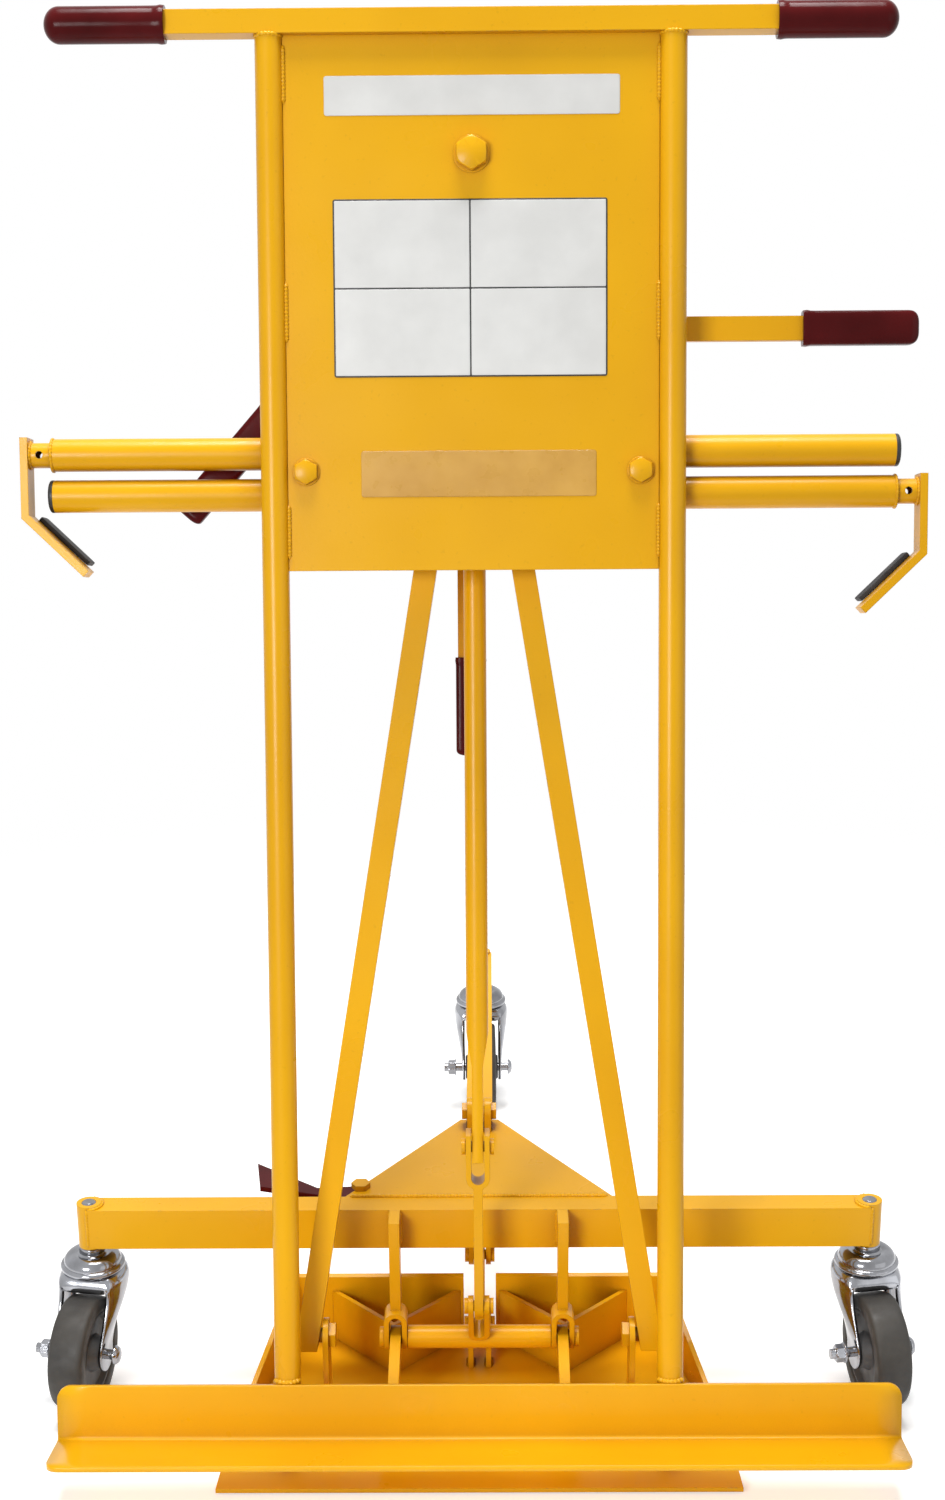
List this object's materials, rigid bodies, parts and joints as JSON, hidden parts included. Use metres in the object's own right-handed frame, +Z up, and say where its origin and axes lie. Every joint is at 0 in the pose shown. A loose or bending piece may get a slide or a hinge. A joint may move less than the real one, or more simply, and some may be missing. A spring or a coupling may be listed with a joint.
{
  "type": "door dolly",
  "caption": "Yellow wheeled stand that carries a door on a low shelf between sprung hooks, with levers to lift, lean and side-tilt it and a folding rear leg.",
  "frame": {"origin": "on the floor, under the middle of the dolly's box", "axes": "+Z up, the door stands on the -Y side, +X to the right as seen from the door"},
  "size_m": [0.7706, 0.8426, 1.1864],
  "materials": {
    "yellow_paint": "gloss enamel",
    "grip_vinyl": "dipped vinyl",
    "wheel_rubber": "matt",
    "zinc_plate": "bright zinc plate",
    "pad_rubber": "ribbed rubber",
    "spring_steel": "oiled",
    "cap_plastic": "moulded"
  },
  "bodies": {
    "base": {"cross_tube": "yellow_paint", "stem_sleeves": "yellow_paint", "gusset_plate": "yellow_paint", "leg_lugs": "yellow_paint", "crank_hangers": "yellow_paint", "rear_link_hanger": "yellow_paint", "base_pins": "yellow_paint", "front_caster_stems": "zinc_plate"},
    "leg": {"folding_leg": "yellow_paint", "rear_caster_stem": "zinc_plate"},
    "release": {"release_lever": "grip_vinyl"},
    "crank": {"lift_crank": "yellow_paint"},
    "carriage": {"carriage_pan": "yellow_paint", "pan_ribs": "yellow_paint", "carriage_ears": "yellow_paint", "carriage_pins": "yellow_paint", "mast_brackets": "yellow_paint", "tilt_bolts": "yellow_paint"},
    "rear_link": {"rear_link": "yellow_paint"},
    "lift_link": {"lift_link": "yellow_paint"},
    "rod_pin": {"rod_pin": "yellow_paint"},
    "rod": {"lift_rod": "yellow_paint"},
    "mast": {"mast_leg_left": "yellow_paint", "mast_leg_right": "yellow_paint", "mast_head": "yellow_paint", "guide_plate_and_tilt_ears": "yellow_paint", "mast_pivots": "yellow_paint"},
    "lift_lever": {"lift_lever": "yellow_paint", "lift_grip": "grip_vinyl"},
    "side_lever": {"side_lever": "yellow_paint", "side_grip": "grip_vinyl"},
    "tilt_lever": {"tilt_lever": "yellow_paint", "tilt_grip": "grip_vinyl"},
    "door_frame": {"upright_left": "yellow_paint", "upright_right": "yellow_paint", "handlebar": "yellow_paint", "handlebar_grips": "grip_vinyl", "face_plate": "yellow_paint", "frame_bolts": "yellow_paint", "shelf_angle": "yellow_paint", "hook_tube_upper": "yellow_paint", "hook_tube_lower": "yellow_paint", "hook_tube_caps": "cap_plastic", "hook_spring_left": "spring_steel", "hook_spring_right": "spring_steel"},
    "left_collar": {"hook_collar_left": "spring_steel"},
    "left_hook": {"hook_left": "yellow_paint", "hook_pad_left": "pad_rubber"},
    "right_collar": {"hook_collar_right": "spring_steel"},
    "right_hook": {"hook_right": "yellow_paint", "hook_pad_right": "pad_rubber"},
    "left_swivel": {"left_caster_fork": "zinc_plate", "left_caster_axle": "zinc_plate"},
    "left_wheel": {"left_caster_wheel": "wheel_rubber"},
    "right_swivel": {"right_caster_fork": "zinc_plate", "right_caster_axle": "zinc_plate"},
    "right_wheel": {"right_caster_wheel": "wheel_rubber"},
    "rear_swivel": {"rear_caster_fork": "zinc_plate", "rear_caster_axle": "zinc_plate"},
    "rear_wheel": {"rear_caster_wheel": "wheel_rubber"}
  },
  "joints": [
    {"name": "left_caster_swivel", "type": "hinge", "parent": "base", "child": "left_swivel", "pos_m": [-0.349, -0.2137, 0.1016], "axis": [0, 0, 1], "continuous": true},
    {"name": "left_wheel_roll", "type": "hinge", "parent": "left_swivel", "child": "left_wheel", "pos_m": [-0.3556, -0.25113, 0.0508], "axis": [0.9848, -0.1736, 0], "continuous": true},
    {"name": "right_caster_swivel", "type": "hinge", "parent": "base", "child": "right_swivel", "pos_m": [0.349, -0.2137, 0.1016], "axis": [0, 0, 1], "continuous": true},
    {"name": "right_wheel_roll", "type": "hinge", "parent": "right_swivel", "child": "right_wheel", "pos_m": [0.3556, -0.25113, 0.0508], "axis": [0.9848, 0.1736, 0], "continuous": true},
    {"name": "rear_caster_swivel", "type": "hinge", "parent": "leg", "child": "rear_swivel", "pos_m": [0, 0.3913, 0.1016], "axis": [0, 0, 1], "continuous": true},
    {"name": "rear_wheel_roll", "type": "hinge", "parent": "rear_swivel", "child": "rear_wheel", "pos_m": [0.00066, 0.3533, 0.0508], "axis": [0.9998, 0.0175, 0], "continuous": true},
    {"name": "leg_fold", "type": "hinge", "parent": "base", "child": "leg", "pos_m": [0, -0.0597, 0.19475], "axis": [1, 0, 0], "range_deg": [0, 85]},
    {"name": "leg_release", "type": "hinge", "parent": "base", "child": "release", "pos_m": [-0.107, -0.1837, 0.17875], "axis": [0, 0, 1], "range_deg": [0, 15], "stiffness_Nm_per_rad": 1},
    {"name": "lift_crank_turn", "type": "hinge", "parent": "base", "child": "crank", "pos_m": [0, -0.2487, 0.064], "axis": [-1, 0, 0], "range_deg": [0, 28.59]},
    {"name": "carriage_level", "type": "hinge", "parent": "crank", "child": "carriage", "pos_m": [0, -0.33592, 0.04177], "axis": [1, 0, 0], "range_deg": [0, 28.59]},
    {"name": "rear_link_turn", "type": "hinge", "parent": "base", "child": "rear_link", "pos_m": [0, -0.1137, 0.07], "axis": [-1, 0, 0], "range_deg": [0, 28.59]},
    {"name": "lift_link_turn", "type": "hinge", "parent": "crank", "child": "lift_link", "pos_m": [0, -0.2737, 0.11], "axis": [1, 0, 0], "range_deg": [0, 41.76]},
    {"name": "rod_pin_turn", "type": "hinge", "parent": "lift_link", "child": "rod_pin", "pos_m": [0, -0.2577, 0.257], "axis": [-1, 0, 0], "range_deg": [0, 13.17]},
    {"name": "lift_lever_turn", "type": "hinge", "parent": "mast", "child": "lift_lever", "pos_m": [-0.046, -0.0885, 1.00216], "axis": [0, 0.9744, -0.225], "range_deg": [0, 50.61]},
    {"name": "mast_tilt", "type": "hinge", "parent": "carriage", "child": "mast", "pos_m": [0, -0.2977, 0.096], "axis": [1, 0, 0], "range_deg": [0, 17]},
    {"name": "tilt_lever_turn", "type": "hinge", "parent": "mast", "child": "tilt_lever", "pos_m": [0, -0.08159, 0.75426], "axis": [1, 0, 0], "range_deg": [0, 80]},
    {"name": "rod_tilt", "type": "hinge", "parent": "rod_pin", "child": "rod", "pos_m": [0, -0.2577, 0.257], "axis": [1, 0, 0], "range_deg": [0, 20.6]},
    {"name": "side_tilt", "type": "hinge", "parent": "mast", "child": "door_frame", "pos_m": [0, -0.075, 1.06063], "axis": [0, 0.9744, -0.225], "range_deg": [-2, 2]},
    {"name": "side_lever_turn", "type": "hinge", "parent": "mast", "child": "side_lever", "pos_m": [0.04, -0.10515, 0.93006], "axis": [0, 0.9744, -0.225], "range_deg": [-10, 10]},
    {"name": "left_hook_slide", "type": "slide", "parent": "door_frame", "child": "left_collar", "axis": [-1, 0, 0], "range_m": [0, 0.254], "stiffness_N_per_m": 120},
    {"name": "left_hook_turn", "type": "hinge", "parent": "left_collar", "child": "left_hook", "pos_m": [0.014, -0.15065, 0.83722], "axis": [-1, 0, 0], "range_deg": [0, 100]},
    {"name": "right_hook_slide", "type": "slide", "parent": "door_frame", "child": "right_collar", "axis": [1, 0, 0], "range_m": [0, 0.254], "stiffness_N_per_m": 120},
    {"name": "right_hook_turn", "type": "hinge", "parent": "right_collar", "child": "right_hook", "pos_m": [-0.014, -0.15821, 0.80448], "axis": [-1, 0, 0], "range_deg": [0, 100]}
  ],
  "couplings": [
    {"joint": "carriage_level", "follows": "lift_crank_turn", "ratio": 1},
    {"joint": "rear_link_turn", "follows": "lift_crank_turn", "ratio": 1},
    {"joint": "lift_link_turn", "follows": "lift_crank_turn", "ratio": 1.4606},
    {"joint": "rod_pin_turn", "follows": "lift_crank_turn", "ratio": 0.46055},
    {"joint": "lift_lever_turn", "follows": "lift_crank_turn", "ratio": 1.77},
    {"joint": "tilt_lever_turn", "follows": "mast_tilt", "ratio": 4.7059},
    {"joint": "rod_tilt", "follows": "mast_tilt", "ratio": 1.2116},
    {"joint": "side_lever_turn", "follows": "side_tilt", "ratio": 5}
  ]
}
